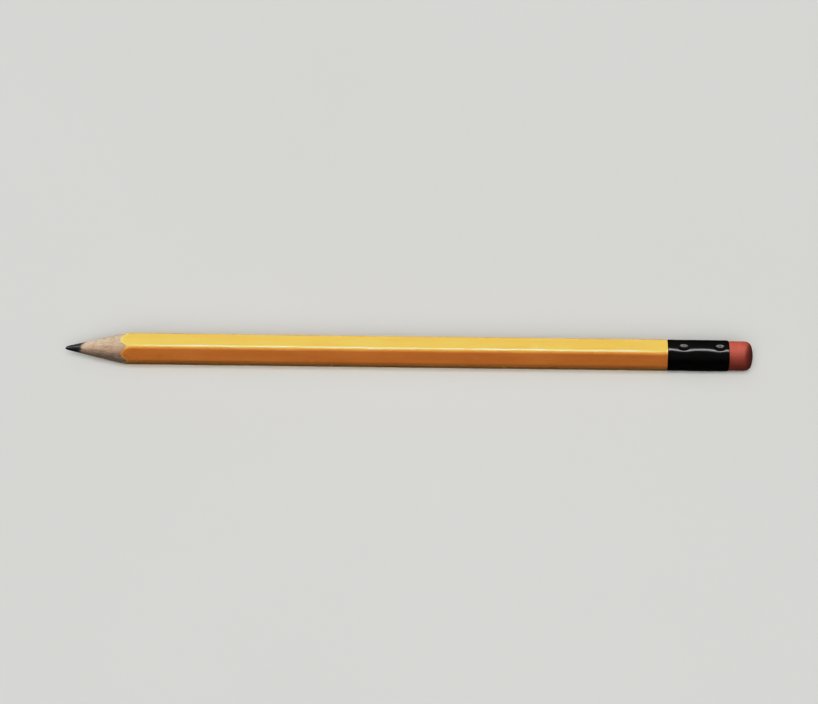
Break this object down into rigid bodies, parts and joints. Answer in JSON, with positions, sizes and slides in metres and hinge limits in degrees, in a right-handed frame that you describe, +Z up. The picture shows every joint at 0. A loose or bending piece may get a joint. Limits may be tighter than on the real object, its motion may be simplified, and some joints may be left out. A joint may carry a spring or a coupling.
{
  "type": "wood-cased pencil",
  "caption": "Sharpened hexagonal wood-cased graphite pencil, lacquered, with a crimped enamelled ferrule holding a rubber at the back end.",
  "frame": {"origin": "on the resting plane, under the middle of the pencil's length; the pencil's own axis is 3.6 mm above it", "axes": "+X along the pencil from the sharpened point to the rubber, +Z up out of the upper flat, +Y across the pencil along the line between two opposite edges of the hexagon"},
  "size_m": [0.16, 0.0076, 0.0072],
  "materials": {
    "cedar": "raw knife-cut wood",
    "glue": "dried adhesive film",
    "graphite": "burnished graphite and clay",
    "lacquer": "gloss yellow lacquer, lightly worn",
    "aluminium": "bright",
    "enamel": "gloss black",
    "rubber": "matt, worn"
  },
  "bodies": {
    "root": {"upper_slat": "cedar", "lower_slat": "cedar", "slat_glue": "glue", "lead_core": "graphite", "lacquer_coat": "lacquer", "ferrule": "aluminium", "ferrule_enamel": "enamel", "eraser_plug": "rubber"}
  },
  "joints": []
}
